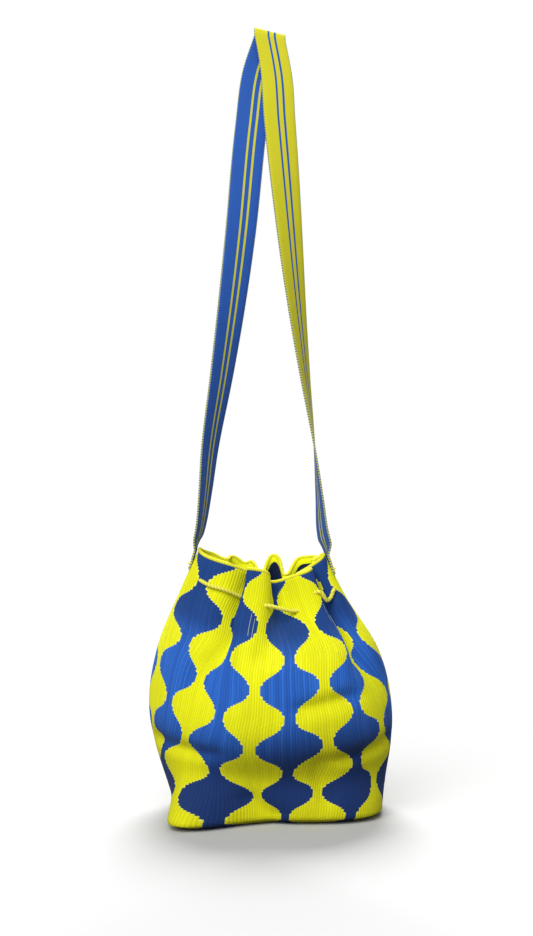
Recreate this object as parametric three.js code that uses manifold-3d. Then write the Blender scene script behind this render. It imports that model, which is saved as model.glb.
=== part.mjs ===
// A soft drawstring bucket bag: a ribbed woven body gathered at the mouth, a bound rim, a drawstring
// threaded through the wall, and one long band strap sewn on at both sides of the mouth.
// Millimetres, +Z up. The bag stands on its base and the strap is held up by its middle.
import * as THREE from "three";
import { ParametricGeometry } from "three/addons/geometries/ParametricGeometry.js";
import { mergeVertices } from "three/addons/utils/BufferGeometryUtils.js";
import Module from "manifold-3d";

const wasm = await Module();
wasm.setup();

// Driving dimensions: the body
// Each level gives the wall's half sizes, its sideways shift, how square its outline is,
// and the turn in degrees of the weave's first column, where -90 is the bag's left side.
const BASE = { z: 6, halfWidth: 109, halfDepth: 87, shiftX: 9, square: 3.5, turn: -90 };
const BELLY = { z: 107, halfWidth: 129.5, halfDepth: 109, shiftX: 0, square: 2.2, turn: -76 };
const SHOULDER = { z: 172, halfWidth: 118.5, halfDepth: 93, shiftX: -3, square: 2.2, turn: -75 };
const CINCH = { z: 224, halfWidth: 91, halfDepth: 54, shiftX: -8, square: 2.4, turn: -80 };
const MOUTH = { z: 266, halfWidth: 70, halfDepth: 40, shiftX: -9, square: 3, turn: -82 };
const WALL = 3;
const EAR = { turn: -38, spread: 15, height: 38, reach: 50 };
// The sag under the belly: turn and height of its middle, half its length in degrees, spread and depth
const SAG = { turn: 10, z: 46, halfLength: 38, spreadTurn: 20, spreadZ: 25, depth: 15 };
const FLOOR_FLAT = 0.8;

// The weave: columns of the wave pattern round the body, and the mouth's pleats.
// A pleat's place is in columns from the left side. Its depth, lean and opening are at the rim, soft rounds
// its edges, and it has half its depth at the height from, where it fades over the height fade.
const COLUMNS = 10;
const COLUMN_PITCH = 75;
const PLEATS = [
  { at: 1.19, depth: 27, lean: 12, opening: 0, soft: 0.2, from: 172, fade: 26 },
  { at: 2.55, depth: 42, lean: -10, opening: 10, soft: 0.25, from: 199, fade: 21 },
  { at: 4.02, depth: 41, lean: -4, opening: 2, soft: 0.2, from: 160, fade: 14 },
  { at: 5.65, depth: 26, lean: 0, opening: 4, soft: 0.5, from: 199, fade: 21 },
  { at: 6.84, depth: 26, lean: 0, opening: 4, soft: 0.35, from: 199, fade: 21 },
  { at: 7.8, depth: 26, lean: 0, opening: 4, soft: 0.35, from: 199, fade: 21 },
  { at: 8.87, depth: 26, lean: 0, opening: 4, soft: 0.5, from: 199, fade: 21 },
];
const PLEAT_EASE = 1.12;
const OPENING_PLACE = 0.12;
const OPENING_RATE = 2.4;

// The rim sinks between the strap ends, more at the front than at the back.
// It also dips or rises at some turns, by a depth and over a spread in degrees.
const RIM_LIFT = 9;
const RIM_DIPS = [
  { turn: 36, depth: 8, spread: 22 },
  { turn: 156, depth: 12, spread: 5 },
  { turn: 169, depth: -3, spread: 6 },
  { turn: 181, depth: 11, spread: 5 },
  { turn: 196, depth: 7, spread: 7 },
];
const RIM_SAG = 12;
const RIM_SAG_FRONT = 5;
const RIM_TILT = 2.5;
const RIM_SAG_IN_PLEAT = 0.4;
const RIM_SAG_START = 130;

// Rim binding, drawstring, strap and sewing thread
const BINDING_RADIUS = 2;
const BINDING_SEAT = 0.7;
const CORD_RADIUS = 2.2;
const KNOT_RADIUS = 6;
const STRAP_WIDTH = 35;
const STRAP_THICKNESS = 2;
const STRAP_TOP = 832;
const STRAP_TOP_X = -1;
const STRAP_BEND_RADIUS = 6;
const STRAP_TOP_TILT = 14;
const STRAP_LEFT = { column: -0.12, turn: 80, flatFrom: 0.83 };
const STRAP_RIGHT = { column: 5, turn: 114, flatFrom: 0.94 };
// How far the strap's legs bow sideways, from their feet at climb 0 to the bend at climb 1
const STRAP_BOWS = [
  { climb: 0, left: 0, right: 0 },
  { climb: 0.05, left: 2.5, right: -3 },
  { climb: 0.11, left: 2, right: -2.2 },
  { climb: 0.2, left: 0, right: -1.5 },
  { climb: 0.35, left: 1.2, right: -3.2 },
  { climb: 0.62, left: -0.3, right: -3.5 },
  { climb: 0.84, left: -6.5, right: -0.5 },
  { climb: 0.93, left: -7, right: 2.5 },
  { climb: 1, left: 0, right: 0 },
];
const TAB_LENGTH = 18;
const TAB_STAND_OFF = 2.6;
const STRAP_FREE_AFTER = 18;
const THREAD_RADIUS = 0.7;
const STITCH = 7;
const STITCHES = 4;
const STITCH_FROM_END = 5;
const GAP = 0.3;

// The drawstring's route: column of the weave, stand-off from the wall's outer face, height on the cloth.
// It lies outside the wall across the pleats and inside the lobes, and is knotted behind.
const CORD_ROUTE = [
  [-3.7, 9, 235], [-3.64, 6, 235], [-3.58, 0, 235], [-3.48, -5, 235], [-2.68, -6, 235], [-1.67, -6, 237],
  [-0.6, -6, 240], [-0.2, -6, 242], [0.28, -6, 243], [0.5, 0, 243], [0.62, 3, 242], [0.8, 3, 241],
  [1.0, 3, 239], [1.3, -4, 237], [1.7, -6.5, 234], [1.93, -5, 231], [2.02, 3, 231], [2.88, 3, 230],
  [2.98, -5, 232], [3.16, -6, 238], [3.3, -1, 244], [3.38, 3, 243], [3.48, 3.5, 233], [4.5, 3.5, 230],
  [4.56, 3, 234], [4.61, -1, 236], [4.7, -5, 237], [4.9, -6, 238], [5.9, -5, 236], [6.04, 0, 235],
  [6.12, 6, 235], [6.18, 9, 235],
];

const COLORS = { yellow: 0xe9e215, blue: 0x2456b4, cord: 0xe6da2a, thread: 0xd9d45a };

const LEVELS = [BASE, BELLY, SHOULDER, CINCH, MOUTH];
const wallLevels = new THREE.CubicInterpolant(
  LEVELS.map((level) => level.z),
  LEVELS.flatMap((level) => [level.halfWidth, level.halfDepth, level.shiftX, level.square, level.turn]),
  5,
);
const { degToRad, radToDeg, lerp, smoothstep, euclideanModulo } = THREE.MathUtils;
const UP = new THREE.Vector3(0, 0, 1);

// The bag's outline at one level, before the mouth is pleated, and the way out of it
function outline(turn, z) {
  const [halfWidth, halfDepth, shiftX, square] = wallLevels.evaluate(z);
  const sine = Math.sin(turn);
  const cosine = Math.cos(turn);
  const round = (Math.abs(sine) ** square + Math.abs(cosine) ** square) ** (1 / square);
  const point = new THREE.Vector3(shiftX + (halfWidth * sine) / round, (-halfDepth * cosine) / round, z);
  const out = new THREE.Vector3(halfDepth * sine, -halfWidth * cosine, 0).normalize();
  return { point, out };
}

// A step from 0 to 2 that passes 1 at x = 0
function step(x) {
  return 1 + x / (1 + x ** 4) ** 0.25;
}

// Cloth the pleats take up to a column and in all, and how far they tuck it in and sideways there
function gather(column, z) {
  const sum = { used: 0, taken: 0, inward: 0, sideways: 0 };
  for (const { at, depth, lean, opening, soft, from, fade } of PLEATS) {
    const formed = 1 / (1 + Math.exp((from - z) / fade));
    const x = ((column - at) * COLUMN_PITCH) / (PLEAT_EASE * depth);
    const near = euclideanModulo(column - at + COLUMNS / 2, COLUMNS) - COLUMNS / 2;
    const slope = 1 - Math.hypot((near * COLUMN_PITCH) / (PLEAT_EASE * depth), soft);
    const tuck = (formed * (slope + Math.hypot(slope, soft))) / 2;
    const opened = (opening / 2) * step(OPENING_RATE * (x - OPENING_PLACE));
    sum.used += (formed * (depth * step(x) - opened)) / COLUMN_PITCH;
    sum.taken += (formed * (2 * depth - opening)) / COLUMN_PITCH;
    sum.inward += depth * tuck;
    sum.sideways += lean * tuck;
  }
  return sum;
}

// How far the ear of the base stands out of the outline, less the sag under the belly
function standsOut(degrees, z) {
  const ear = EAR.reach * Math.exp(-(((degrees - EAR.turn) / EAR.spread) ** 2) - (z / EAR.height) ** 2);
  const past = Math.max(Math.abs(degrees - SAG.turn) - SAG.halfLength, 0);
  const sag = SAG.depth * Math.exp(-((past / SAG.spreadTurn) ** 2) - ((z - SAG.z) / SAG.spreadZ) ** 2);
  return ear - sag;
}

// How far the rim hangs below its own level
function rimSag(turn, inward) {
  const cosine = Math.cos(turn);
  let sag = cosine ** 2 * (RIM_SAG + RIM_SAG_FRONT * cosine) + RIM_TILT * Math.sin(turn) - RIM_LIFT;
  for (const dip of RIM_DIPS) {
    sag += dip.depth * Math.exp(-(((radToDeg(turn) - dip.turn) / dip.spread) ** 2));
  }
  return sag + RIM_SAG_IN_PLEAT * inward;
}

// A point of the wall's outer face, from its column of the weave and its height on the cloth
function wallPoint(column, z) {
  const place = euclideanModulo(column, COLUMNS);
  const { used, taken, inward, sideways } = gather(place, z);
  const turn = degToRad(wallLevels.evaluate(z)[4]) + (2 * Math.PI * (place - used)) / (COLUMNS - taken);
  const { point, out } = outline(turn, z);
  const along = UP.clone().cross(out);
  const degrees = euclideanModulo(radToDeg(turn) + 180, 360) - 180;
  point.addScaledVector(out, standsOut(degrees, z) - inward);
  point.addScaledVector(along, sideways);
  point.z -= rimSag(turn, inward) * smoothstep(z, RIM_SAG_START, MOUTH.z);
  return point;
}

// The way out of the wall at a point
function wallNormal(column, z) {
  const across = wallPoint(column + 0.01, z).sub(wallPoint(column - 0.01, z));
  const upward = wallPoint(column, z).sub(wallPoint(column, z - 1));
  return across.cross(upward).normalize();
}

// Solids: a closed geometry becomes a solid, which is cut and turned back into a geometry
function solidOf(geometry) {
  const bare = geometry.clone();
  bare.deleteAttribute("normal");
  bare.deleteAttribute("uv");
  const merged = mergeVertices(bare, 1e-3);
  const vertProperties = new Float32Array(merged.attributes.position.array);
  const triVerts = new Uint32Array(merged.index.array);
  return new wasm.Manifold(new wasm.Mesh({ numProp: 3, vertProperties, triVerts }));
}

function cut(geometry, ...tools) {
  const left = tools.reduce((solid, tool) => solid.subtract(solidOf(tool)), solidOf(geometry));
  const mesh = left.getMesh();
  const made = new THREE.BufferGeometry();
  made.setAttribute("position", new THREE.BufferAttribute(mesh.vertProperties, 3));
  made.setIndex(new THREE.BufferAttribute(mesh.triVerts, 1));
  made.computeVertexNormals();
  return made;
}

// A round cord along a curve
function cordAlong(curve, radius, sides, steps) {
  const section = new THREE.Shape();
  for (let i = 0; i < sides; i += 1) {
    const angle = (2 * Math.PI * i) / sides;
    const move = i === 0 ? "moveTo" : "lineTo";
    section[move](radius * Math.cos(angle), radius * Math.sin(angle));
  }
  section.closePath();
  return new THREE.ExtrudeGeometry(section, { steps, extrudePath: curve });
}

// The same curve, a little longer at both ends
function extended(curve, more) {
  const first = curve.getPoint(0).addScaledVector(curve.getTangent(0), -more);
  const last = curve.getPoint(1).addScaledVector(curve.getTangent(1), more);
  return new THREE.CatmullRomCurve3([first, ...curve.points, last], false, curve.curveType);
}

// Woven body: the base and the wall, outside and inside, from the middle of the base round the rim and back
const AROUND = 84;
const FLOOR_SHARES = [0, FLOOR_FLAT, lerp(FLOOR_FLAT, 1, 0.6), lerp(FLOOR_FLAT, 1, 0.9)];
const LEVEL_ROWS = [5, 3, 4, 4];
const wallHeights = [BASE.z];
LEVEL_ROWS.forEach((rows, i) => {
  for (let row = 1; row <= rows; row += 1) {
    wallHeights.push(lerp(LEVELS[i].z, LEVELS[i + 1].z, row / rows));
  }
});

function bodyPoint(column, row) {
  const inside = row < 0;
  const floor = new THREE.Vector3(BASE.shiftX, 0, inside ? WALL : 0);
  const wallRow = Math.abs(row) - FLOOR_SHARES.length - 1;
  const z = wallHeights[Math.max(wallRow, 0)];
  const point = wallPoint(column, z);
  if (inside) {
    const normal = wallNormal(column, z);
    normal.z = 0;
    point.addScaledVector(normal.normalize(), -WALL);
    point.z += wallRow <= 0 ? WALL : 0;
  }
  if (wallRow >= 0) {
    return point;
  }
  const share = FLOOR_SHARES[Math.abs(row) - 1];
  const curl = Math.max(share - FLOOR_FLAT, 0) / (1 - FLOOR_FLAT);
  const lift = (point.z - floor.z) * curl ** 2;
  return floor.lerp(point.setZ(floor.z), share).setZ(floor.z + lift);
}

const lastRow = FLOOR_SHARES.length + wallHeights.length;
const bodyRows = Array.from({ length: 2 * lastRow }, (_, i) => (i < lastRow ? i + 1 : i - 2 * lastRow));
const bodyShell = new ParametricGeometry(
  (u, v, target) => target.copy(bodyPoint(COLUMNS * u, bodyRows[Math.round(v * (bodyRows.length - 1))])),
  AROUND,
  bodyRows.length - 1,
);

// Rim binding: a rolled edge that sits on the rim all round
const BINDING_SIDES = 6;
const rimBinding = new ParametricGeometry(
  (u, v, target) => {
    const column = COLUMNS * u;
    const out = wallNormal(column, MOUTH.z).setZ(0).normalize();
    const ahead = wallPoint(column + 0.01, MOUTH.z).sub(wallPoint(column - 0.01, MOUTH.z));
    const offRim = out.clone().cross(ahead).normalize();
    const angle = 2 * Math.PI * (v % 1);
    target.copy(wallPoint(column, MOUTH.z));
    target.addScaledVector(out, BINDING_RADIUS * Math.cos(angle) - WALL / 2);
    target.addScaledVector(offRim, BINDING_SEAT + BINDING_RADIUS * (1 + Math.sin(angle)));
  },
  AROUND,
  BINDING_SIDES,
);

// Drawstring and the knot that ties its ends
const cordCurve = new THREE.CatmullRomCurve3(
  CORD_ROUTE.map(([column, standOff, z]) => {
    const out = wallNormal(column, z).setZ(0).normalize();
    return wallPoint(column, z).addScaledVector(out, standOff);
  }),
  false,
  "centripetal",
);
const CORD_SIDES = 8;
const CORD_STEPS = 84;
const drawstring = cordAlong(cordCurve, CORD_RADIUS, CORD_SIDES, CORD_STEPS);
const drawstringWay = cordAlong(cordCurve, CORD_RADIUS + GAP, CORD_SIDES, CORD_STEPS);
const knotPlace = cordCurve.getPoint(0).lerp(cordCurve.getPoint(1), 0.5);
const knotBall = new THREE.SphereGeometry(KNOT_RADIUS, 14, 10);
knotBall.translate(knotPlace.x, knotPlace.y, knotPlace.z);
const knotSockets = cordAlong(extended(cordCurve, GAP), CORD_RADIUS + GAP, CORD_SIDES, CORD_STEPS);
const drawstringKnot = cut(knotBall, knotSockets);

// Strap: a flat band, sewn to the wall's outside at both ends and bent over at the top.
// x is across the band, y is through it and distance is along it from the left end.
function tabPoint(side, x, y, rise) {
  const column = (side < 0 ? STRAP_LEFT : STRAP_RIGHT).column + (side * x) / COLUMN_PITCH;
  const z = Math.min(MOUTH.z + rise - TAB_LENGTH, MOUTH.z);
  const out = wallNormal(column, z).setZ(0).normalize();
  const standOff = GAP + STRAP_THICKNESS / 2 + TAB_STAND_OFF * smoothstep(rise, 0, TAB_LENGTH);
  const point = wallPoint(column, z).addScaledVector(out, standOff + y);
  point.z += Math.max(rise - TAB_LENGTH, 0);
  return point;
}

function bandFrame(turn, tilt, pitch) {
  const level = new THREE.Vector3(Math.cos(turn), Math.sin(turn), 0);
  const across = level.multiplyScalar(Math.cos(tilt)).addScaledVector(UP, -Math.sin(tilt));
  const flat = new THREE.Vector3(-Math.sin(turn), Math.cos(turn), 0);
  const out = flat.multiplyScalar(Math.cos(pitch)).addScaledVector(UP, Math.sin(pitch));
  return { across, out };
}

const legTop = STRAP_TOP - STRAP_BEND_RADIUS;
const legFoot = MOUTH.z;
const legLength = legTop - legFoot;
const bendLength = Math.PI * STRAP_BEND_RADIUS;
const strapLength = 2 * (TAB_LENGTH + legLength) + bendLength;
const strapBows = new THREE.CubicInterpolant(
  STRAP_BOWS.map((stop) => stop.climb),
  STRAP_BOWS.flatMap((stop) => [stop.left, stop.right]),
  2,
);

function strapPoint(x, y, distance) {
  const side = distance < strapLength / 2 ? -1 : 1;
  const rise = side < 0 ? distance : strapLength - distance;
  const climb = Math.min(Math.max((rise - TAB_LENGTH) / legLength, 0), 1);
  const bend = Math.max(rise - TAB_LENGTH - legLength, 0) / STRAP_BEND_RADIUS;
  const foot = tabPoint(side, 0, 0, TAB_LENGTH);
  const end = side < 0 ? STRAP_LEFT : STRAP_RIGHT;
  const turn = degToRad(end.turn) * Math.max(1 - climb / end.flatFrom, 0);
  const tilt = degToRad(STRAP_TOP_TILT) * smoothstep(climb, 0.75, 1);
  const { across, out } = bandFrame(turn, tilt, bend);
  if (side > 0) {
    out.set(-out.x, -out.y, out.z);
  }
  const centre = foot.lerp(new THREE.Vector3(STRAP_TOP_X, 0, legTop), climb);
  centre.x += strapBows.evaluate(climb)[side < 0 ? 0 : 1];
  const fromBend = out.clone().multiplyScalar(STRAP_BEND_RADIUS * smoothstep(climb, 0.4, 1));
  const free = centre.add(fromBend).addScaledVector(across, x).addScaledVector(out, y);
  const held = tabPoint(side, x, y, rise);
  return held.lerp(free, smoothstep(rise, TAB_LENGTH, TAB_LENGTH + STRAP_FREE_AFTER));
}

// The band's rows: close together where it is sewn on and where it bends over the top
const legStretches = [[3, TAB_LENGTH], [5, STRAP_FREE_AFTER], [12, legLength - STRAP_FREE_AFTER]];
const rowDistances = [0];
for (const [rows, length] of [...legStretches, [8, bendLength], ...legStretches.toReversed()]) {
  const start = rowDistances.at(-1);
  for (let i = 1; i <= rows; i += 1) {
    rowDistances.push(start + (length * i) / rows);
  }
}
const strapRows = rowDistances.length - 1;
const strapBand = new THREE.BoxGeometry(STRAP_WIDTH, STRAP_THICKNESS, strapRows, 4, 1, strapRows);
const bandPlaces = strapBand.attributes.position;
for (let i = 0; i < bandPlaces.count; i += 1) {
  const distance = rowDistances[Math.round(bandPlaces.getZ(i) + strapRows / 2)];
  const placed = strapPoint(bandPlaces.getX(i), bandPlaces.getY(i), distance);
  bandPlaces.setXYZ(i, placed.x, placed.y, placed.z);
}

// Lashing: a running stitch of thread through the strap's end and the wall
function lashingCurve(side) {
  const outside = STRAP_THICKNESS / 2 + GAP + THREAD_RADIUS;
  const inside = -outside - GAP - WALL - TAB_STAND_OFF * smoothstep(STITCH_FROM_END, 0, TAB_LENGTH);
  const points = [];
  for (let i = 0; i <= STITCHES; i += 1) {
    const x = (i - STITCHES / 2) * STITCH;
    const faces = i % 2 === 0 ? [inside, outside] : [outside, inside];
    faces.forEach((y) => points.push(tabPoint(side, x, y, STITCH_FROM_END)));
  }
  return new THREE.CatmullRomCurve3(points, false, "centripetal");
}
const THREAD_SIDES = 6;
const THREAD_STEPS = 32;
const lashings = [-1, 1].map((side) => {
  const curve = lashingCurve(side);
  return {
    thread: cordAlong(curve, THREAD_RADIUS, THREAD_SIDES, THREAD_STEPS),
    way: cordAlong(curve, THREAD_RADIUS + GAP, THREAD_SIDES, THREAD_STEPS),
  };
});
const threadWays = lashings.map((lashing) => lashing.way);

const wovenBody = cut(bodyShell, drawstringWay, ...threadWays);
const strap = cut(strapBand, ...threadWays);

// The assembled bag, with the middle of its footprint on the origin
const bag = new THREE.Group();
function addPiece(name, geometry, color, roughness) {
  const material = new THREE.MeshStandardMaterial({ color, roughness, metalness: 0 });
  const mesh = new THREE.Mesh(geometry, material);
  mesh.name = name;
  bag.add(mesh);
}
addPiece("woven_body", wovenBody, COLORS.blue, 0.7);
addPiece("rim_binding", rimBinding, COLORS.yellow, 0.65);
addPiece("drawstring", drawstring, COLORS.cord, 0.65);
addPiece("drawstring_knot", drawstringKnot, COLORS.cord, 0.65);
addPiece("strap", strap, COLORS.yellow, 0.7);
addPiece("left_lashing", lashings[0].thread, COLORS.thread, 0.6);
addPiece("right_lashing", lashings[1].thread, COLORS.thread, 0.6);

const box = new THREE.Box3().setFromObject(bag);
const middle = box.getCenter(new THREE.Vector3());
bag.position.set(-middle.x, -middle.y, -box.min.z);

export default bag;
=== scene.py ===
import math

import bmesh
import bpy
import numpy as np
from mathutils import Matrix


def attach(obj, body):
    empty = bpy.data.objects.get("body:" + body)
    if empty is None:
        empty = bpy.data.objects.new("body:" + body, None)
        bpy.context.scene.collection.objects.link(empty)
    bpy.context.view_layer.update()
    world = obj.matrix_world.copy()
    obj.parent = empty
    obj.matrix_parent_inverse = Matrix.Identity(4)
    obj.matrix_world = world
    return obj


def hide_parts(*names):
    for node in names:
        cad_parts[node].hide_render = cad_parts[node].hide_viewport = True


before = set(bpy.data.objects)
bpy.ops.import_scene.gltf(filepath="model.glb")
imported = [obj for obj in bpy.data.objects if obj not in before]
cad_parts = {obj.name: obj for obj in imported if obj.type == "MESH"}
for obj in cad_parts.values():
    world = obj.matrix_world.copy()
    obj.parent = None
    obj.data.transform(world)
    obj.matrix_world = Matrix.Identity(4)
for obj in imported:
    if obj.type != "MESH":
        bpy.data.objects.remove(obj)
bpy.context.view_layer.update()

scene = bpy.context.scene
scene.view_settings.view_transform = "Standard"

# Camera: level, 1.8 m in front of the bag and a little over its middle,
# on a portrait frame with the strap's bend near the top.
lens = bpy.data.cameras.new("front_camera")
lens.lens = 64.7
front_camera = bpy.data.objects.new("front_camera", lens)
front_camera.location = (-0.0045, -1.7966, 0.365)
front_camera.rotation_euler = (math.radians(90), 0, 0)
scene.collection.objects.link(front_camera)
scene.camera = front_camera

# Floor and light: a white studio floor that runs out of sight and keeps the bag's soft shadow, darker
# to bounced light than to the camera. A wide lamp from above and behind throws the shadow forward,
# another from the front left lights the folds, and the room is an even white.
FLOOR_HALF = 30
FLOOR_DROP = 0.0004
FLOOR_TONE_SEEN = 0.585
FLOOR_TONE_BOUNCED = 0.18
ROOM_LIGHT = 0.24
ROOM_SEEN = 1.0
# Each lamp: strength, spread, tilt and swing, the last three in degrees
LAMPS = {"top_lamp": (4.2, 27, -42, 0), "front_lamp": (2.75, 50, 52, -20)}


def new_material(name):
    """A material, its node tree and its main shader."""
    material = bpy.data.materials.new(name)
    material.use_nodes = True
    return material, material.node_tree, material.node_tree.nodes["Principled BSDF"]


def calc(tree, work, *inputs):
    """One sum in a node tree. Each input is a number or another node's socket."""
    made = tree.nodes.new("ShaderNodeMath")
    made.operation = work
    for socket, value in zip(made.inputs, inputs):
        if isinstance(value, (int, float)):
            socket.default_value = value
        else:
            tree.links.new(value, socket)
    return made.outputs[0]


def ramp(tree, value, start, full, least=0, most=1, shape="LINEAR"):
    """A number that goes from least to most while a value goes from start to full."""
    made = tree.nodes.new("ShaderNodeMapRange")
    made.interpolation_type = shape
    limits = {"From Min": start, "From Max": full, "To Min": least, "To Max": most}
    for name, limit in limits.items():
        made.inputs[name].default_value = limit
    tree.links.new(value, made.inputs["Value"])
    return made.outputs[0]


def add_object(name, mesh, material):
    mesh.materials.append(material)
    made = bpy.data.objects.new(name, mesh)
    scene.collection.objects.link(made)
    return made


floor_bm = bmesh.new()
bmesh.ops.create_grid(floor_bm, x_segments=2, y_segments=2, size=FLOOR_HALF)
bmesh.ops.translate(floor_bm, verts=floor_bm.verts, vec=(0, 0, -FLOOR_DROP))
floor_mesh = bpy.data.meshes.new("studio_floor")
floor_bm.to_mesh(floor_mesh)
floor_bm.free()
floor_paint, tree, shader = new_material("white_floor_paint")
floor_ray = tree.nodes.new("ShaderNodeLightPath")
floor_tone = ramp(tree, floor_ray.outputs["Is Camera Ray"], 0, 1, FLOOR_TONE_BOUNCED, FLOOR_TONE_SEEN)
tree.links.new(floor_tone, shader.inputs["Base Color"])
shader.inputs["Roughness"].default_value = 1
shader.inputs["Specular IOR Level"].default_value = 0
add_object("studio_floor", floor_mesh, floor_paint)

for name, (energy, spread, tilt, swing) in LAMPS.items():
    lamp = bpy.data.lights.new(name, "SUN")
    lamp.energy = energy
    lamp.angle = math.radians(spread)
    lamp_stand = bpy.data.objects.new(name, lamp)
    lamp_stand.rotation_euler = (math.radians(tilt), 0, math.radians(swing))
    scene.collection.objects.link(lamp_stand)

room = bpy.data.worlds.new("white_room")
room.use_nodes = True
tree = room.node_tree
room_ray = tree.nodes.new("ShaderNodeLightPath")
seen = calc(tree, "MAXIMUM", room_ray.outputs["Is Camera Ray"], room_ray.outputs["Is Glossy Ray"])
room_white = tree.nodes["Background"]
room_white.inputs["Color"].default_value = (1, 1, 1, 1)
tree.links.new(ramp(tree, seen, 0, 1, ROOM_LIGHT, ROOM_SEEN), room_white.inputs["Strength"])
scene.world = room


# Woven body: one tube of ribbed cotton, closed at the base and gathered at the mouth.
# The wave pattern is woven in, so its edges step from rib to rib. The mouth's pleats and the soft
# dents of the wall are in its shape, and it is one closed loft, outside and inside. Sizes in mm.
def srgb(red, green, blue):
    """A colour written as screen values from 0 to 255, for a shader socket."""
    parts = np.array([red, green, blue]) / 255
    linear = np.where(parts <= 0.04045, parts / 12.92, ((parts + 0.055) / 1.055) ** 2.4)
    return (*linear, 1.0)


HEM_HEIGHT = 6
RIM_HEIGHT = 266
WALL = 3
COLUMNS = 10
COLUMN_PITCH = 75
RIBS = 26
BODY_SET_BACK = 5.95
BASE_MIDDLE = 5
BASE_RADIUS = 100
# Each level: height, half width, half depth, shift to the right, squareness and the turn of column 0
BODY_LEVELS = np.array([
    [HEM_HEIGHT, 109, 87, 9, 3.5, -90],
    [107, 129.5, 109, 0, 2.2, -76],
    [172, 118.5, 93, -3, 2.2, -75],
    [224, 91, 54, -8, 2.4, -80],
    [RIM_HEIGHT, 70, 40, -9, 3, -82],
])
# Each pleat: its column, depth, sideways lean, opening at the rim, roundness, and the height on
# the cloth where it has half its depth, with how softly it fades there
PLEATS = [
    [1.19, 27, 12, 0, 0.2, 172, 26], [2.55, 42, -10, 10, 0.25, 199, 21], [4.02, 41, -4, 2, 0.2, 160, 14],
    [5.65, 26, 0, 4, 0.5, 199, 21], [6.84, 26, 0, 4, 0.35, 199, 21], [7.8, 26, 0, 4, 0.35, 199, 21],
    [8.87, 26, 0, 4, 0.5, 199, 21],
]
# A pleat's half width for its depth, and how sharply and how late its far side opens at the rim
PLEAT_REACH = 1.12
OPENING_SHARPNESS = 2.4
OPENING_LAG = 0.12
# The ear that the base pushes out at the front left: its turn, reach, spread and height
EAR_TURN = -38
EAR_REACH = 50
EAR_SPREAD = 15
EAR_HEIGHT = 38
# Each dent: turn and height of its two ends, depth, and its spread across and up
DENTS = [
    [-28, 45, 48, 47, 15, 20, 25],
    [14, 222, -2, 176, 7, 8, 12],
    [-66, 84, -34, 74, 7, 9, 7],
    [36, 68, 68, 82, 8, 9, 7],
    [18, 121, 38, 130, 7, 8, 8],
    [22, 62, 26, 26, 5, 5, 9],
    [-16, 26, -4, 10, 7, 7, 8],
    [-13, 196, -17, 138, 4, 4, 16],
]
# The rim sinks at the front and back, tilts to one side, and sinks further where a pleat tucks it in
SINK_START = 130
RIM_SINK = 12
RIM_SINK_FORWARD = 5
RIM_TILT = 2.5
PLEAT_SINK = 0.4
RIM_LIFT = 9
# Each dip of the rim: turn, depth and spread
RIM_DIPS = [[36, 8, 22], [156, 12, 5], [181, 11, 5], [196, 7, 7], [169, -3, 6]]
# The belly's columns crowd towards one turn of the front: by how much, and between which heights
CROWDING = 0.12
CROWDING_TURN = -22
CROWDING_BEGINS = (55, 105)
CROWDING_ENDS = (150, 215)
# Where the columns lie aside of their even places: turn and height, spread across and up, and shift
COLUMN_SHIFTS = [[-30, 0, 28, 40, 0.16], [-22, 75, 26, 34, -0.07], [-40, 192, 18, 20, 0.1]]
# Where the woven rows hang low or are drawn up: column, its spread, the drop, and where it fades out
ROW_DROPS = [[2.15, 0.75, 10, 175, 235], [4.3, 0.6, -12, 205, 265], [0.1, 0.6, -13, 175, 235]]
ROW_DROP_FULL = 60


def hermite(knots, values, slopes, at):
    """A smooth curve through values at knots, read at any places."""
    i = np.clip(np.searchsorted(knots, at, side="right") - 1, 0, len(knots) - 2)
    run = (knots[i + 1] - knots[i])[..., None]
    p = (at - knots[i])[..., None] / run
    start = (2 * p**3 - 3 * p**2 + 1) * values[i] + (p**3 - 2 * p**2 + p) * run * slopes[i]
    end = (3 * p**2 - 2 * p**3) * values[i + 1] + (p**3 - p**2) * run * slopes[i + 1]
    return start + end


def ease(x, low, high):
    p = np.clip((x - low) / (high - low), 0, 1)
    return p * p * (3 - 2 * p)


def unit(vectors):
    return vectors / np.linalg.norm(vectors, axis=-1, keepdims=True)


def smooth_through(table, at):
    """The columns of a table after its first, read smoothly at places in its first."""
    knots, values = table[:, 0], table[:, 1:]
    secants = np.diff(values, axis=0) / np.diff(knots)[:, None]
    slopes = np.vstack([secants[:1], (secants[:-1] + secants[1:]) / 2, secants[-1:]])
    return np.moveaxis(hermite(knots, values, slopes, at), -1, 0)


def columns_from(column, at):
    """How many columns lie between a place and a given column, the short way round."""
    return np.mod(column - at + COLUMNS / 2, COLUMNS) - COLUMNS / 2


def outline(turn, z):
    """The bag's outline at a level, before the mouth is pleated, and the way out of it."""
    half_width, half_depth, shift, square, _ = smooth_through(BODY_LEVELS, z)
    sine, cosine = np.sin(turn), np.cos(turn)
    round_off = (np.abs(sine) ** square + np.abs(cosine) ** square) ** (1 / square)
    x = shift + half_width * sine / round_off
    y = BODY_SET_BACK - half_depth * cosine / round_off
    out = unit(np.stack([half_depth * sine, -half_width * cosine, 0 * z], -1))
    return np.stack([x, y, z + 0 * x], -1), out


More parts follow.
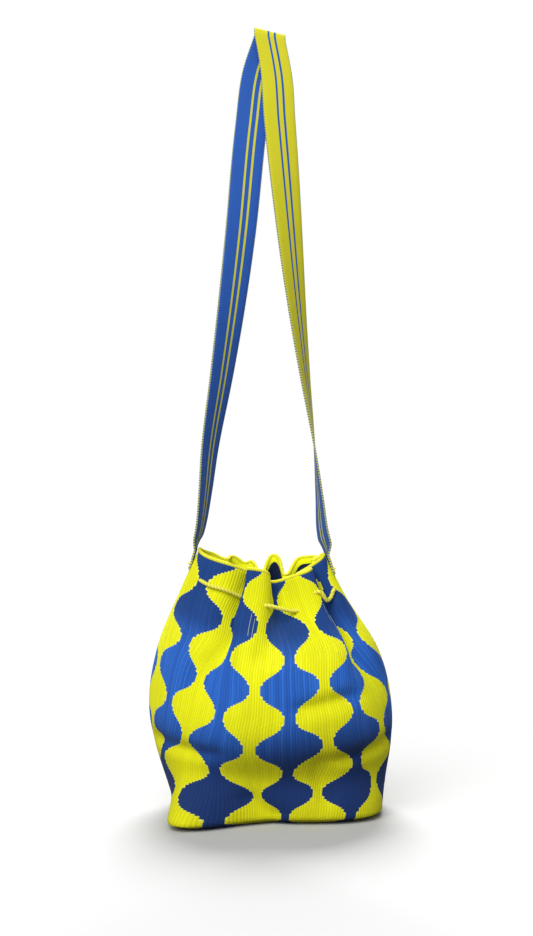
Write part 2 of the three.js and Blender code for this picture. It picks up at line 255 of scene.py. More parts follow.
def gather(column, z):
    """Cloth taken by the pleats up to a column and in all, and how far they tuck it in and sideways."""
    used, taken, inward, sideways = 0, 0, 0, 0
    for at, depth, lean, gap, soft, half_height, fade in PLEATS:
        formed = 1 / (1 + np.exp((half_height - z) / fade))
        reach = PLEAT_REACH * depth / COLUMN_PITCH
        x = (column - at) / reach
        slope = 1 - np.hypot(columns_from(column, at) / reach, soft)
        tuck = (slope + np.hypot(slope, soft)) / 2
        folded = 1 + x / (1 + x**4) ** 0.25
        late = OPENING_SHARPNESS * (x - OPENING_LAG)
        opened = 1 + late / (1 + late**4) ** 0.25
        used = used + formed * (depth * folded - gap * opened / 2) / COLUMN_PITCH
        taken = taken + formed * (2 * depth - gap) / COLUMN_PITCH
        inward = inward + formed * depth * tuck
        sideways = sideways + formed * lean * tuck
    return used, taken, inward, sideways


def column_turn(column, z, used, taken):
    """The turn round the bag at which a column lies, from the cloth that the pleats leave it."""
    turn = np.radians(smooth_through(BODY_LEVELS, z)[4])
    turn = turn + 2 * np.pi * (column - used) / (COLUMNS - taken)
    crowding = CROWDING * ease(z, *CROWDING_BEGINS) * (1 - ease(z, *CROWDING_ENDS))
    turn = turn - crowding * np.sin(turn - math.radians(CROWDING_TURN))
    for at, height, spread, fade, shift in COLUMN_SHIFTS:
        far = ((np.degrees(turn) - at) / spread) ** 2 + ((z - height) / fade) ** 2
        turn = turn + shift * np.exp(-far)
    return turn


def wall_bulge(turn, z):
    """How far the ear and the dents push the wall out of its outline."""
    degrees = np.degrees((turn + np.pi) % (2 * np.pi) - np.pi)
    bulge = EAR_REACH * np.exp(-(((degrees - EAR_TURN) / EAR_SPREAD) ** 2) - (z / EAR_HEIGHT) ** 2)
    for turn_a, z_a, turn_b, z_b, depth, across, up in DENTS:
        run_turn, run_z = (turn_b - turn_a) / across, (z_b - z_a) / up
        at_turn, at_z = (degrees - turn_a) / across, (z - z_a) / up
        place = np.clip((at_turn * run_turn + at_z * run_z) / (run_turn**2 + run_z**2), 0, 1)
        far = (at_turn - place * run_turn) ** 2 + (at_z - place * run_z) ** 2
        bulge = bulge - depth * np.exp(-far)
    return bulge


def wall_point(column, z):
    """A point of the wall's outside, from its column of the weave and its height on the cloth."""
    column = np.mod(column, COLUMNS)
    z = z + 0.0 * column
    used, taken, inward, sideways = gather(column, z)
    turn = column_turn(column, z, used, taken)
    point, out = outline(turn, z)
    along = np.cross([0, 0, 1], out)
    point = point + out * (wall_bulge(turn, z) - inward)[..., None] + along * sideways[..., None]
    sink = np.cos(turn) ** 2 * (RIM_SINK + RIM_SINK_FORWARD * np.cos(turn))
    sink = sink + RIM_TILT * np.sin(turn) + PLEAT_SINK * inward - RIM_LIFT
    for at, depth, spread in RIM_DIPS:
        sink = sink + depth * np.exp(-(((np.degrees(turn) - at) / spread) ** 2))
    point[..., 2] -= sink * ease(z, SINK_START, RIM_HEIGHT)
    return point


def wall_normal(column, z):
    across = wall_point(column + 0.01, z) - wall_point(column - 0.01, z)
    upward = wall_point(column, z) - wall_point(column, z - 1)
    return unit(np.cross(across, upward))


def level_normal(column, z):
    return unit(wall_normal(column, z) * [1, 1, 0])


def laid_grid(name, across, along, place):
    """A grid of quads laid on a surface. place turns each vertex's column and row into its point in
    mm and its woven coordinates, which the corners keep where the grid's edges meet."""
    bm = bmesh.new()
    bmesh.ops.create_grid(bm, x_segments=across, y_segments=along, size=0.5)
    mesh = bpy.data.meshes.new(name)
    bm.to_mesh(mesh)
    spots = np.empty(3 * len(mesh.vertices))
    mesh.vertices.foreach_get("co", spots)
    spots = spots.reshape(-1, 3) + 0.5
    columns = np.rint(spots[:, 0] * across).astype(int)
    rows = np.rint(spots[:, 1] * along).astype(int)
    points, woven = place(columns, rows)
    mesh.vertices.foreach_set("co", (points * 0.001).ravel())
    corners = np.empty(len(mesh.loops), dtype=int)
    mesh.loops.foreach_get("vertex_index", corners)
    weave = mesh.attributes.new("weave", "FLOAT_VECTOR", "CORNER")
    weave.data.foreach_set("vector", woven[corners].ravel())
    bm.clear()
    bm.from_mesh(mesh)
    bmesh.ops.remove_doubles(bm, verts=bm.verts, dist=1e-6)
    bmesh.ops.recalc_face_normals(bm, faces=bm.faces)
    for face in bm.faces:
        face.smooth = True
    bm.to_mesh(mesh)
    bm.free()
    return mesh


# The loft's rows: out along the base, up the outside, down the inside, and back to the middle
BASE_SHARES = [0, 0.3, 0.6, 0.8, 0.87, 0.93, 0.975]
OUTSIDE = np.r_[np.linspace(HEM_HEIGHT, 30, 8), np.linspace(33, 198, 49), np.linspace(201, RIM_HEIGHT, 27)]
INSIDE = np.r_[np.linspace(RIM_HEIGHT, 252, 3), np.linspace(244, 196, 6), np.linspace(186, 146, 4),
               np.linspace(139, 49, 14), 39, 28, 17, HEM_HEIGHT]
INNER_BASE_SHARES = [0.95, 0.8, 0.4, 0]
body_z = np.r_[[HEM_HEIGHT] * len(BASE_SHARES), OUTSIDE, INSIDE, [HEM_HEIGHT] * len(INNER_BASE_SHARES)]
body_share = np.r_[BASE_SHARES, [1] * (len(OUTSIDE) + len(INSIDE)), INNER_BASE_SHARES]
body_inside = np.arange(len(body_z)) >= len(BASE_SHARES) + len(OUTSIDE)
BASE_CURL_FROM = 0.8
# Across one rib: the place of each edge loop and how far it stands out
RIB_PROFILE = np.array([[0, -0.5], [0.28, 0.14], [0.72, 0.14]])


def body_place(i, j):
    part = RIB_PROFILE[i % len(RIB_PROFILE)]
    column = (i // len(RIB_PROFILE) + part[:, 0]) / RIBS
    z, share, inside = body_z[j], body_share[j], body_inside[j]
    point = wall_point(column, z)
    relief = part[:, 1] * share * ~inside
    point = point + wall_normal(column, z) * relief[:, None]
    point = point - level_normal(column, z) * (WALL * inside)[:, None]
    point[:, 2] += WALL * (inside & (z <= HEM_HEIGHT))
    middle = np.stack([BASE_MIDDLE + 0 * z, BODY_SET_BACK + 0 * z, WALL * inside], -1)
    curl = (np.clip(share - BASE_CURL_FROM, 0, 1) / (1 - BASE_CURL_FROM)) ** 2
    lift = (point[:, 2] - middle[:, 2]) * curl
    laid = middle + (point - middle) * share[:, None]
    laid[:, 2] = np.where(share < 1, middle[:, 2] + lift, point[:, 2])
    cloth = z - BASE_RADIUS * (1 - share) + RIM_LIFT * ease(z, SINK_START, RIM_HEIGHT)
    for at, spread, drop, full, gone in ROW_DROPS:
        drop = drop * ease(z, HEM_HEIGHT, ROW_DROP_FULL) * (1 - ease(z, full, gone))
        cloth = cloth + drop * np.exp(-((columns_from(column, at) / spread) ** 2))
    return laid, np.stack([column, cloth, inside], -1)


def times(tree, first, second):
    return calc(tree, "MULTIPLY", first, second)


def away(tree, value, middle):
    """How far a value lies from a middle one, either way."""
    return calc(tree, "ABSOLUTE", calc(tree, "SUBTRACT", value, middle))


def blend(tree, share, first, second, kind="MIX"):
    """One colour over another. Each is a colour or another node's socket."""
    made = tree.nodes.new("ShaderNodeMix")
    made.data_type = "RGBA"
    made.blend_type = kind
    for socket, value in zip((made.inputs[0], made.inputs[6], made.inputs[7]), (share, first, second)):
        if isinstance(value, (int, float, tuple)):
            socket.default_value = value
        else:
            tree.links.new(value, socket)
    return made.outputs[2]


def woven_coordinates(tree):
    weave = tree.nodes.new("ShaderNodeAttribute")
    weave.attribute_name = "weave"
    split = tree.nodes.new("ShaderNodeSeparateXYZ")
    tree.links.new(weave.outputs["Vector"], split.inputs[0])
    return split.outputs


def cloudy(tree, scale, detail):
    """Soft uneven tone over the piece, about 0.5."""
    place = tree.nodes.new("ShaderNodeTexCoord")
    noise = tree.nodes.new("ShaderNodeTexNoise")
    noise.inputs["Scale"].default_value = scale
    noise.inputs["Detail"].default_value = detail
    tree.links.new(place.outputs["Object"], noise.inputs["Vector"])
    return noise.outputs["Fac"]


def thread_relief(tree, shader, height, strength, distance):
    """The fine relief of the threads, from their height and how deep they stand in metres."""
    relief = tree.nodes.new("ShaderNodeBump")
    relief.inputs["Strength"].default_value = strength
    relief.inputs["Distance"].default_value = distance
    tree.links.new(height, relief.inputs["Height"])
    tree.links.new(relief.outputs[0], shader.inputs["Normal"])


def cotton(shader, roughness):
    shader.inputs["Roughness"].default_value = roughness
    shader.inputs["Specular IOR Level"].default_value = 0.15
    shader.inputs["Sheen Weight"].default_value = 0.06
    shader.inputs["Sheen Roughness"].default_value = 0.5


YELLOW = srgb(246, 249, 18)
YELLOW_WORN = srgb(214, 206, 16)
YELLOW_GROOVE_SHADE = srgb(140, 130, 8)
YELLOW_EDGE = srgb(250, 248, 150)
YELLOW_SHADED_LOW = srgb(176, 168, 6)
BLUE = srgb(38, 95, 188)
BLUE_BRIGHT = srgb(51, 115, 213)
BLUE_SHADED_LOW = srgb(20, 45, 96)
BLUE_SHADED_HIGH = srgb(22, 54, 110)
BLUE_GROOVE_SHADE = srgb(22, 48, 110)
LINING_SHADED_AT_MOUTH = srgb(17, 34, 78)
LINING_DEEP = srgb(52, 108, 206)
PALE_THREAD = srgb(214, 218, 190)
# The wave: where the first one starts, its length, and how much longer each is than the one below
WAVE_START = 8
WAVE_LENGTH = 53
WAVE_GROWTH = 5
# The yellow bands, in columns: half their mean width, how far that swings, and how full the lobes are
BAND_HALF = 0.25
BAND_SWING = 0.168
LOBE_FULLNESS = 1.1
EDGE_WIDTH = 0.010
# How much of an edge's slope steps from rib to rib
STEPPING = 0.8
# Painted shade: the blue is darkened towards the base, most at the right of the front, and towards the
# mouth, and the yellow a little towards the base. The inside's blue is painted darkest at the mouth, as
# shade
LOW_SHADE_HEIGHTS = (115, 45)
LOW_SHADE_COLUMN = 3.1
LOW_SHADE_RISE = 26
HIGH_SHADE_HEIGHTS = (172, 216)
LINING_SHADE_HEIGHTS = (225, 150)
# Each pale thread pulled out of a rib: its column, the middle of its height and half its length
PULLED_THREADS = [[1.80, 217, 11], [1.86, 214, 9], [3.37, 228, 14], [3.43, 210, 12]]
PULLED_HALF_WIDTH = 0.004
# The picks of the weave, in radians for each mm up and from one rib to the next
PICK_TURN = 5.2
PICK_STAGGER = 1.9
RIM_EDGE = 6

weave_cloth, tree, shader = new_material("ribbed_cotton_weave")
column, height, inside = woven_coordinates(tree)
rib_place = times(tree, column, RIBS)
rib = calc(tree, "FLOOR", rib_place)
rib_chance = tree.nodes.new("ShaderNodeTexWhiteNoise")
rib_chance.noise_dimensions = "1D"
tree.links.new(rib, rib_chance.inputs["W"])
rib_tone = rib_chance.outputs["Value"]
# Painted shade in the grooves between the ribs
groove_shade = ramp(tree, away(tree, calc(tree, "FRACT", rib_place), 0.5), 0.30, 0.5)

rib_middle = calc(tree, "DIVIDE", calc(tree, "ADD", rib, 0.5), RIBS)
stepped = calc(tree, "MULTIPLY_ADD", rib_middle, STEPPING, times(tree, column, 1 - STEPPING))
length_at_start = WAVE_LENGTH - WAVE_GROWTH / 2
root_at_zero = length_at_start**2 - 2 * WAVE_GROWTH * WAVE_START
root = calc(tree, "SQRT", calc(tree, "MULTIPLY_ADD", height, 2 * WAVE_GROWTH, root_at_zero))
waves = calc(tree, "MULTIPLY_ADD", root, 1 / WAVE_GROWTH, -length_at_start / WAVE_GROWTH)
swing = calc(tree, "COSINE", times(tree, waves, 2 * math.pi))
swing = calc(tree, "TANH", times(tree, swing, LOBE_FULLNESS))
half_band = calc(tree, "MULTIPLY_ADD", swing, BAND_SWING / math.tanh(LOBE_FULLNESS), BAND_HALF)
from_band = away(tree, calc(tree, "FRACT", calc(tree, "ADD", stepped, 0.5)), 0.5)
into_yellow = calc(tree, "SUBTRACT", half_band, from_band)
is_yellow = calc(tree, "GREATER_THAN", into_yellow, 0)
at_edge = calc(tree, "LESS_THAN", calc(tree, "ABSOLUTE", into_yellow), EDGE_WIDTH)

# Painted shade: the cloth darkens towards the base, and starts higher at the right of the front
from_right = calc(tree, "POWER", calc(tree, "SUBTRACT", column, LOW_SHADE_COLUMN), 2)
right_front_shade = calc(tree, "EXPONENT", times(tree, from_right, -1))
shade_height = calc(tree, "MULTIPLY_ADD", right_front_shade, -LOW_SHADE_RISE, height)
painted_low_shade = ramp(tree, shade_height, *LOW_SHADE_HEIGHTS, most=0.95, shape="SMOOTHSTEP")
# Painted shade: the blue darkens towards the mouth
painted_high_shade = ramp(tree, height, *HIGH_SHADE_HEIGHTS, most=0.8, shape="SMOOTHSTEP")
yellow_yarn = blend(tree, times(tree, rib_tone, 0.3), YELLOW, YELLOW_WORN)
yellow_yarn = blend(tree, times(tree, groove_shade, 0.34), yellow_yarn, YELLOW_GROOVE_SHADE)
yellow_yarn = blend(tree, times(tree, times(tree, at_edge, is_yellow), 0.5), yellow_yarn, YELLOW_EDGE)
# Painted shade on the yellow towards the base
yellow_yarn = blend(tree, times(tree, painted_low_shade, 0.4), yellow_yarn, YELLOW_SHADED_LOW)
blue_yarn = blend(tree, rib_tone, BLUE, BLUE_BRIGHT)
# Painted shade on the blue towards the base and at the right of the front
blue_yarn = blend(tree, painted_low_shade, blue_yarn, BLUE_SHADED_LOW)
# Painted shade on the blue towards the mouth
blue_yarn = blend(tree, painted_high_shade, blue_yarn, BLUE_SHADED_HIGH)
blue_yarn = blend(tree, times(tree, groove_shade, 0.45), blue_yarn, BLUE_GROOVE_SHADE)
pattern = blend(tree, is_yellow, blue_yarn, yellow_yarn)
for place, middle, half in PULLED_THREADS:
    beside = calc(tree, "LESS_THAN", away(tree, column, place), PULLED_HALF_WIDTH)
    along = calc(tree, "LESS_THAN", away(tree, height, middle), half)
    pattern = blend(tree, times(tree, times(tree, beside, along), 0.55), pattern, PALE_THREAD)

# Painted shade: the inside's blue is darkest near the mouth and lightens deeper down
lining = blend(tree, ramp(tree, height, *LINING_SHADE_HEIGHTS), LINING_SHADED_AT_MOUTH, LINING_DEEP)
near_rim = calc(tree, "GREATER_THAN", height, RIM_HEIGHT + RIM_LIFT - RIM_EDGE)
lining = blend(tree, near_rim, lining, YELLOW)
both_faces = blend(tree, inside, pattern, lining)
tone = calc(tree, "MULTIPLY_ADD", cloudy(tree, 26, 3), 0.24, 0.88)
tree.links.new(blend(tree, 1, both_faces, tone, "MULTIPLY"), shader.inputs["Base Color"])
pick = calc(tree, "SINE", calc(tree, "MULTIPLY_ADD", height, PICK_TURN, times(tree, rib, PICK_STAGGER)))
thread_relief(tree, shader, pick, 0.35, 0.0004)
cotton(shader, 0.75)

body_mesh = laid_grid("bag_body", len(RIB_PROFILE) * RIBS * COLUMNS, len(body_z) - 1, body_place)
bag_body = add_object("bag_body", body_mesh, weave_cloth)
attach(bag_body, "root")
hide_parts("woven_body")


# Rim binding: yellow cotton thread whipped over the mouth's raw edge all round, so it reads as a
# rolled cord with close slanting turns of thread.
BINDING_RADIUS = 2
BINDING_CORE = 0.95
BINDING_RIDGE = 0.07
BINDING_RISE = 1.3
BINDING_TURNS = 260
BINDING_STEPS = 1400
BINDING_SIDES = 10
binding_column = np.linspace(0, COLUMNS, BINDING_STEPS + 1)
binding_out = level_normal(binding_column, RIM_HEIGHT)
binding_ahead = wall_point(binding_column + 0.01, RIM_HEIGHT) - wall_point(binding_column - 0.01, RIM_HEIGHT)
binding_up = unit(np.cross(binding_out, binding_ahead))
binding_line = wall_point(binding_column, RIM_HEIGHT) - binding_out * WALL / 2 + binding_up * BINDING_RISE
binding_run = np.r_[0, np.cumsum(np.linalg.norm(np.diff(binding_line, axis=0), axis=1))]


def binding_place(i, j):
    angle = 2 * np.pi * (i % BINDING_SIDES) / BINDING_SIDES
    step = j % BINDING_STEPS
    turn = 2 * np.pi * BINDING_TURNS * step / BINDING_STEPS
    radius = BINDING_RADIUS * (BINDING_CORE + BINDING_RIDGE * np.cos(angle - turn))
    point = binding_line[step] + binding_out[step] * (radius * np.cos(angle))[:, None]
    point += binding_up[step] * (radius * np.sin(angle))[:, None]
    turns = BINDING_TURNS * binding_run[j] / binding_run[-1]
    return point, np.stack([i / BINDING_SIDES, turns, 0 * turns], -1)


def twisted_thread(name, turns_across, light, dark):
    """Thread or cord of yellow cotton: slanting plies, with painted shade in the furrows between them."""
    material, tree, shader = new_material(name)
    round_place, along, _ = woven_coordinates(tree)
    slant = calc(tree, "MULTIPLY_ADD", round_place, -1.0 * turns_across, along)
    # Painted shade in the furrows between the plies
    furrow_shade = ramp(tree, away(tree, calc(tree, "FRACT", slant), 0.5), 0.28, 0.5)
    yarn = blend(tree, times(tree, cloudy(tree, 420, 4), 0.5), light, dark)
    yarn = blend(tree, times(tree, furrow_shade, 0.55), yarn, srgb(120, 108, 10))
    tree.links.new(yarn, shader.inputs["Base Color"])
    cotton(shader, 0.7)
    return material


binding_thread = twisted_thread("whipped_edge_thread", 1, srgb(252, 250, 60), srgb(240, 232, 30))
binding_mesh = laid_grid("bound_rim", BINDING_SIDES, BINDING_STEPS, binding_place)
rim_edge = add_object("bound_rim", binding_mesh, binding_thread)
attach(rim_edge, "root")
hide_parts("rim_binding")


# Drawstring: a twisted yellow cotton cord of three plies, threaded in and out of the wall below
# the rim. It shows across the pleats and hides behind the lobes, and its ends meet at the back.
CORD_RADIUS = 2.2
CORD_PLIES = 3
CORD_PITCH = 11
CORD_STEPS = 640
CORD_SIDES = 18
# A ply's furrow and ridge, as shares of its cord's radius
PLY_FURROW = 0.80
PLY_RIDGE = 0.22
# Each stop: column of the weave, stand-off from the wall's outside, and height on the cloth
CORD_ROUTE = np.array([
    [-3.7, 9, 235], [-3.64, 6, 235], [-3.58, 0, 235], [-3.48, -5, 235], [-2.68, -6, 235], [-1.67, -6, 237],
    [-0.6, -6, 240], [-0.2, -6, 242], [0.28, -6, 243], [0.5, 0, 243], [0.62, 3, 242], [0.8, 3, 241],
    [1.0, 3, 239], [1.3, -4, 237], [1.7, -6.5, 234], [1.93, -5, 231], [2.02, 3, 231], [2.88, 3, 230],
    [2.98, -5, 232], [3.16, -6, 238], [3.3, -1, 244], [3.38, 3, 243], [3.48, 3.5, 233], [4.5, 3.5, 230],
    [4.56, 3, 234], [4.61, -1, 236], [4.7, -5, 237], [4.9, -6, 238], [5.9, -5, 236], [6.04, 0, 235],
    [6.12, 6, 235], [6.18, 9, 235],
])


def line_through(points, count):
    """A smooth line through a row of points, as evenly spaced points, and its length."""
    ends = 2 * points[[0, -1]] - points[[1, -2]]
    longer = np.vstack([ends[:1], points, ends[1:]])
    gaps = np.linalg.norm(np.diff(longer, axis=0), axis=1)[:, None] ** 0.5
    steps = np.diff(longer, axis=0) / gaps
    slopes = steps[:-1] + steps[1:] - (longer[2:] - longer[:-2]) / (gaps[:-1] + gaps[1:])
    knots = np.r_[0, np.cumsum(gaps[1:-1, 0])]
    fine = hermite(knots, points, slopes, np.linspace(0, knots[-1], 20 * count))
    run = np.r_[0, np.cumsum(np.linalg.norm(np.diff(fine, axis=0), axis=1))]
    even = np.linspace(0, run[-1], count)
    return np.stack([np.interp(even, run, fine[:, k]) for k in range(3)], -1), run[-1]


def cord_mesh(name, line, length, radius, plies, pitch, sides):
    """A laid cord along a line: its plies stand proud and turn once in each pitch. Its ends close."""
    ahead = unit(np.gradient(line, axis=0))
    side = np.empty_like(line)
    side[0] = unit(np.cross(ahead[0], [0.3, 0.2, 1]))
    for k in range(1, len(line)):
        side[k] = unit(side[k - 1] - ahead[k] * np.dot(side[k - 1], ahead[k]))
    rise = np.cross(ahead, side)
    last = len(line) - 1

    def cord_place(i, j):
        angle = 2 * np.pi * (i % sides) / sides
        row = np.clip(j - 1, 0, last)
        along = length * row / last
        lobes = np.abs(np.cos(plies / 2 * (angle - 2 * np.pi * along / pitch)))
        end = 1.0 * ((j == 0) | (j == last + 2))
        thick = radius * (PLY_FURROW + PLY_RIDGE * lobes) * (1 - end)
        outward = side[row] * np.cos(angle)[:, None] + rise[row] * np.sin(angle)[:, None]
        point = line[row] + outward * thick[:, None]
        return point, np.stack([i / sides, plies * along / pitch, 0 * end], -1)

    return laid_grid(name, sides, last + 2, cord_place)


cord_stops = wall_point(CORD_ROUTE[:, 0], CORD_ROUTE[:, 2])
cord_stops += level_normal(CORD_ROUTE[:, 0], CORD_ROUTE[:, 2]) * CORD_ROUTE[:, 1:2]
cord_line, cord_length = line_through(cord_stops, CORD_STEPS)
cord_cotton = twisted_thread("twisted_cord_cotton", CORD_PLIES, srgb(252, 247, 96), srgb(240, 229, 50))
draw_cord = add_object("draw_cord", cord_mesh(
    "draw_cord", cord_line, cord_length, CORD_RADIUS, CORD_PLIES, CORD_PITCH, CORD_SIDES), cord_cotton)
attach(draw_cord, "root")
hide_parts("drawstring")


# Drawstring knot: the cord's two ends, of the same twisted cotton, tied in one tight overhand knot
# behind the mouth. It stands off the wall, too thick to slip back through its holes.
KNOT_SIZE = 1.7
KNOT_CORD_RADIUS = 0.9 * CORD_RADIUS
KNOT_STEPS = 241
KNOT_SIDES = 16
knot_turn = np.linspace(0, 2 * np.pi, KNOT_STEPS)
knot_middle = (cord_line[0] + cord_line[-1]) / 2
knot_line = knot_middle + KNOT_SIZE * np.stack([
    np.sin(knot_turn) + 2 * np.sin(2 * knot_turn),
    1.5 * np.sin(3 * knot_turn),
    np.cos(knot_turn) - 2 * np.cos(2 * knot_turn)], -1)
knot_length = np.linalg.norm(np.diff(knot_line, axis=0), axis=1).sum()
cord_knot = add_object("cord_knot", cord_mesh(
    "cord_knot", knot_line, knot_length, KNOT_CORD_RADIUS, CORD_PLIES, CORD_PITCH, KNOT_SIDES), cord_cotton)
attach(cord_knot, "root")
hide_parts("drawstring_knot")


# Strap: one flat band woven double, yellow on its outer face and blue on its inner, with two
# stripes of the other colour through both and a beaded selvage. Its ends are sewn to the outside
# of the mouth's two sides, and it bends over at the top, where it is held up.
STRAP_WIDTH = 35
STRAP_THICKNESS = 2
STRAP_TOP = 832
STRAP_TOP_X = -1
TAB_LENGTH = 18
TAB_COLUMNS = (-0.12, 5)
TAB_GAP = 0.3
TAB_FLARE = 2.6
FREE_AFTER = 18
BEND_RADIUS = 6
# Each leg's turn at its foot in degrees, and the climb at which it faces the front, left and right
FOOT_TURNS = (80, 114)
FACING_CLIMBS = (0.83, 0.94)
# At the top the band tilts, by degrees, and its legs part to go round the bend, from these climbs up
TOP_TILT = 14
TILT_FROM = 0.75
PART_FROM = 0.4
# How far each leg bows sideways: its climb from foot to bend, then left leg and right leg
STRAP_BOWS = np.array([
    [0, 0, 0], [0.05, 2.5, -3], [0.11, 2, -2.2], [0.2, 0, -1.5], [0.35, 1.2, -3.2], [0.62, -0.3, -3.5],
    [0.84, -6.5, -0.5], [0.93, -7, 2.5], [1, 0, 0]])
leg_top = STRAP_TOP - BEND_RADIUS
leg_length = leg_top - RIM_HEIGHT
strap_length = 2 * (TAB_LENGTH + leg_length) + math.pi * BEND_RADIUS


def tab_point(side, x, y, rise):
    """A point of the strap's sewn end, on the outside of the wall."""
    column = np.where(side < 0, *TAB_COLUMNS) + side * x / COLUMN_PITCH
    z = np.minimum(RIM_HEIGHT + rise - TAB_LENGTH, RIM_HEIGHT)
    out = level_normal(column, z)
    stand_off = TAB_GAP + STRAP_THICKNESS / 2 + TAB_FLARE * ease(rise, 0, TAB_LENGTH)
    point = wall_point(column, z) + out * (stand_off + y)[..., None]
    point[..., 2] += np.maximum(rise - TAB_LENGTH, 0)
    return point


def strap_point(x, y, distance):
    """x across the band, y through it, distance along it from its left end."""
    side = np.where(distance < strap_length / 2, -1, 1)
    rise = np.where(side < 0, distance, strap_length - distance)
    climb = np.clip((rise - TAB_LENGTH) / leg_length, 0, 1)
    bend = np.maximum(rise - TAB_LENGTH - leg_length, 0) / BEND_RADIUS
    foot = tab_point(side, 0 * x, 0 * y, 0 * x + TAB_LENGTH)
    facing = np.where(side < 0, *FACING_CLIMBS)
    turn = np.radians(np.where(side < 0, *FOOT_TURNS)) * np.clip(1 - climb / facing, 0, 1)
    tilt = math.radians(TOP_TILT) * ease(climb, TILT_FROM, 1)
    across = np.stack([np.cos(turn) * np.cos(tilt), np.sin(turn) * np.cos(tilt), -np.sin(tilt)], -1)
    flat = np.stack([-np.sin(turn), np.cos(turn), 0 * turn], -1) * (np.cos(bend) * -side)[..., None]
    out = flat + np.stack([0 * bend, 0 * bend, np.sin(bend)], -1)
    top = np.stack([0 * x + STRAP_TOP_X, 0 * x + BODY_SET_BACK, 0 * x + leg_top], -1)
    centre = foot + (top - foot) * climb[..., None]
    left_bow, right_bow = smooth_through(STRAP_BOWS, climb)
    centre[..., 0] += np.where(side < 0, left_bow, right_bow)
    parted = BEND_RADIUS * ease(climb, PART_FROM, 1)
    free = centre + out * (parted + y)[..., None] + across * x[..., None]
    held = tab_point(side, x, y, rise)
    return held + (free - held) * ease(rise, TAB_LENGTH, TAB_LENGTH + FREE_AFTER)[..., None]


FOOT_ROWS_END = 70
leg_rows = np.r_[np.linspace(0, FOOT_ROWS_END, 30), np.linspace(FOOT_ROWS_END, TAB_LENGTH + leg_length, 130)]
bend_rows = TAB_LENGTH + leg_length + np.linspace(0, math.pi * BEND_RADIUS, 17)
strap_rows = np.unique(np.r_[leg_rows, bend_rows, strap_length - leg_rows].round(4))
# The band's section: two flat faces, and edges that two more points round off
FACE_INSET = 0.8
EDGE_INSET = 0.2
EDGE_HALF = 0.6
face_x = np.linspace(-1, 1, 9) * (STRAP_WIDTH / 2 - FACE_INSET)
face_y = STRAP_THICKNESS / 2
edge_x = STRAP_WIDTH / 2 - EDGE_INSET
strap_section = np.array(
    [[x, face_y] for x in face_x] + [[edge_x, EDGE_HALF], [edge_x, -EDGE_HALF]]
    + [[x, -face_y] for x in face_x[::-1]] + [[-edge_x, -EDGE_HALF], [-edge_x, EDGE_HALF]])


def strap_place(i, j):
    last = len(strap_rows) + 1
    section = strap_section[i % len(strap_section)] * np.where((j == 0) | (j == last), 0, 1)[:, None]
    distance = strap_rows[np.clip(j - 1, 0, last - 2)]
    point = strap_point(section[:, 0], section[:, 1], distance)
    return point, np.stack([section[:, 0], distance, section[:, 1]], -1)


# The band's weave in mm: middle and half width of each stripe, the selvage and its beads, and the
# pitch and slant of its threads
STRIPES = [[-1.4, 1.1], [5.5, 1.2]]
SELVAGE = 1.0
BEAD_PITCH = 2.8
BAND_PICK = 1.5
BAND_PICK_SLANT = 0.8
BAND_THREAD = 1.1

strap_weave, tree, shader = new_material("striped_band_weave")
across, along, face = woven_coordinates(tree)
outer = calc(tree, "GREATER_THAN", face, 0)
in_stripes = [calc(tree, "LESS_THAN", away(tree, across, middle), half) for middle, half in STRIPES]
swapped = away(tree, outer, calc(tree, "MAXIMUM", *in_stripes))
at_edge = calc(tree, "GREATER_THAN", calc(tree, "ABSOLUTE", across), STRAP_WIDTH / 2 - SELVAGE)
bead_wave = calc(tree, "SINE", times(tree, along, 2 * math.pi / BEAD_PITCH))
bead = calc(tree, "GREATER_THAN", bead_wave, -0.2)
face_yellow = calc(tree, "SUBTRACT", swapped, times(tree, swapped, at_edge))
is_yellow = calc(tree, "ADD", face_yellow, times(tree, at_edge, bead))
slanted = calc(tree, "ADD", along, times(tree, across, BAND_PICK_SLANT))
band_pick = calc(tree, "SINE", times(tree, slanted, 2 * math.pi / BAND_PICK))
band_thread = calc(tree, "SINE", times(tree, across, 2 * math.pi / BAND_THREAD))
grain = calc(tree, "MULTIPLY_ADD", times(tree, band_pick, band_thread), 0.5, 0.5)
worn = times(tree, cloudy(tree, 60, 4), 0.35)
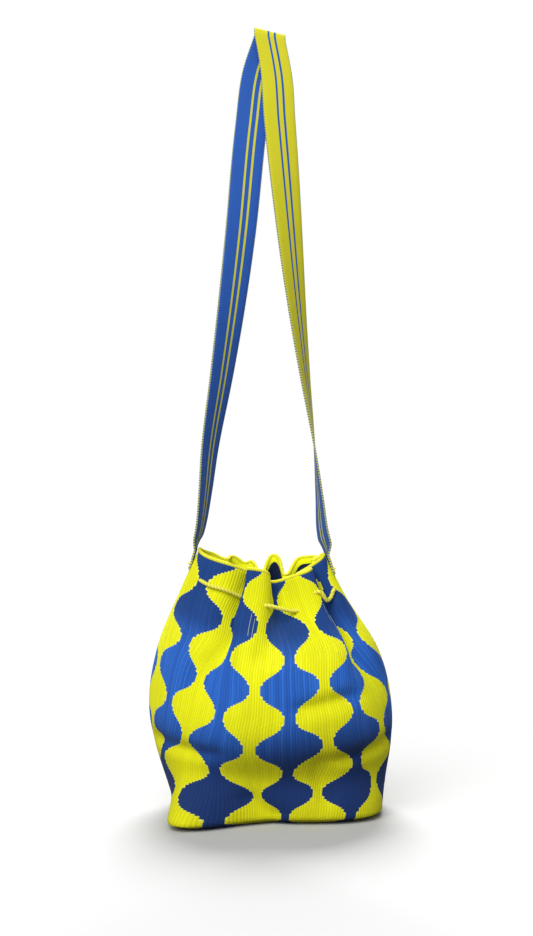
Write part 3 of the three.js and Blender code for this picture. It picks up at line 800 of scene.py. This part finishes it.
strap_yellow = blend(tree, worn, srgb(236, 232, 50), srgb(206, 198, 30))
strap_yellow = blend(tree, times(tree, grain, 0.22), strap_yellow, srgb(160, 150, 16))
strap_blue = blend(tree, worn, srgb(52, 106, 200), srgb(38, 82, 168))
strap_blue = blend(tree, times(tree, grain, 0.25), strap_blue, srgb(24, 52, 116))
tree.links.new(blend(tree, is_yellow, strap_blue, strap_yellow), shader.inputs["Base Color"])
thread_relief(tree, shader, grain, 0.3, 0.0003)
cotton(shader, 0.75)

band_mesh = laid_grid("shoulder_band", len(strap_section), len(strap_rows) + 1, strap_place)
band = add_object("shoulder_band", band_mesh, strap_weave)
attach(band, "root")
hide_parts("strap")


# Lashings: two lengths of yellow cotton thread, of two plies. Each is a row of running stitches that
# goes through the strap's end and the wall behind it, and so sews the strap to the mouth.
THREAD_RADIUS = 0.7
THREAD_PLIES = 2
THREAD_PITCH = 4
THREAD_STEPS = 160
THREAD_SIDES = 10
STITCH = 7
STITCHES = 4
STITCH_RISE = 5
lashing_thread = twisted_thread("lashing_thread", THREAD_PLIES, srgb(240, 230, 90), srgb(216, 202, 50))
outside = STRAP_THICKNESS / 2 + TAB_GAP + THREAD_RADIUS
through = -outside - TAB_GAP - WALL - TAB_FLARE * float(ease(STITCH_RISE, 0, TAB_LENGTH))
for side, node in ((-1, "left_lashing"), (1, "right_lashing")):
    stops = []
    for k in range(STITCHES + 1):
        ends = (through, outside) if k % 2 == 0 else (outside, through)
        stops += [((k - STITCHES / 2) * STITCH, end) for end in ends]
    stops = np.array(stops)
    rises = np.full(len(stops), float(STITCH_RISE))
    sewn = tab_point(np.full(len(stops), side), stops[:, 0], stops[:, 1], rises)
    thread_line, thread_length = line_through(sewn, THREAD_STEPS)
    thread_mesh = cord_mesh(f"{node}_thread", thread_line, thread_length,
                            THREAD_RADIUS, THREAD_PLIES, THREAD_PITCH, THREAD_SIDES)
    thread = add_object(f"{node}_thread", thread_mesh, lashing_thread)
    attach(thread, "root")
    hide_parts(node)
